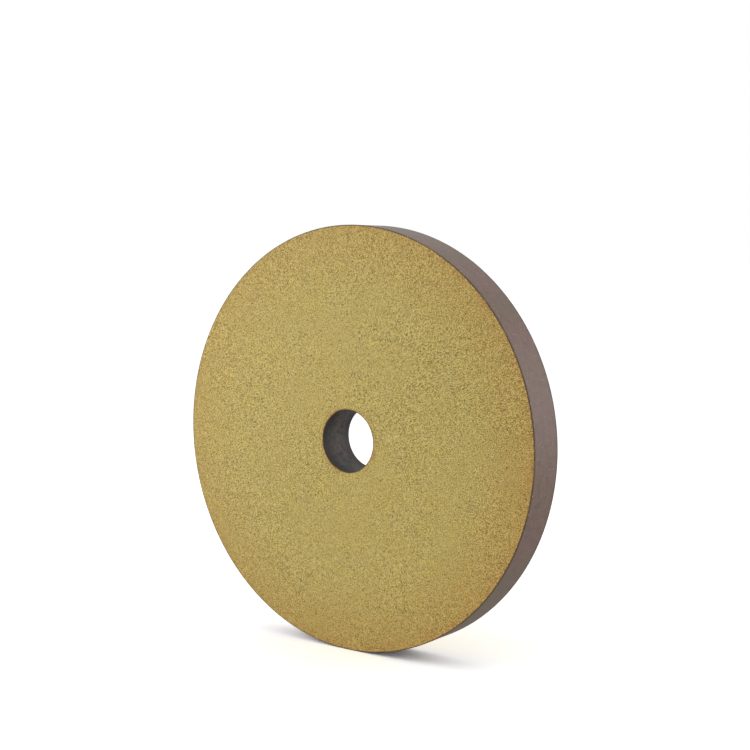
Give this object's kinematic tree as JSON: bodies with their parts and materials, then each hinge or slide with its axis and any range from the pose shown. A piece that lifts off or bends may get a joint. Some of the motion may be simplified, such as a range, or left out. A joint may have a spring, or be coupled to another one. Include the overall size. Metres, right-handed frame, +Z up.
{
  "type": "diamond grinding wheel",
  "caption": "Flat round resin-bonded diamond grinding wheel with a plain bore, textured mustard side facings and a smooth taupe abrasive rim.",
  "frame": {"origin": "centre of the wheel: on the bore's axis, half way through the thickness", "axes": "+Y along the wheel's axis, from the front face to the rear face; +Z up as the wheel stands on its rim"},
  "size_m": [0.15, 0.015, 0.15],
  "materials": {
    "facing": "matte",
    "glass_cloth": "matte",
    "abrasive": "satin",
    "transition_resin": "satin",
    "core_phenolic": "satin",
    "bush_phenolic": "satin"
  },
  "bodies": {
    "root": {"front_facing": "facing", "rear_facing": "facing", "front_cloth": "glass_cloth", "rear_cloth": "glass_cloth", "abrasive_rim": "abrasive", "transition_layer": "transition_resin", "core": "core_phenolic", "bore_bush": "bush_phenolic"}
  },
  "joints": []
}
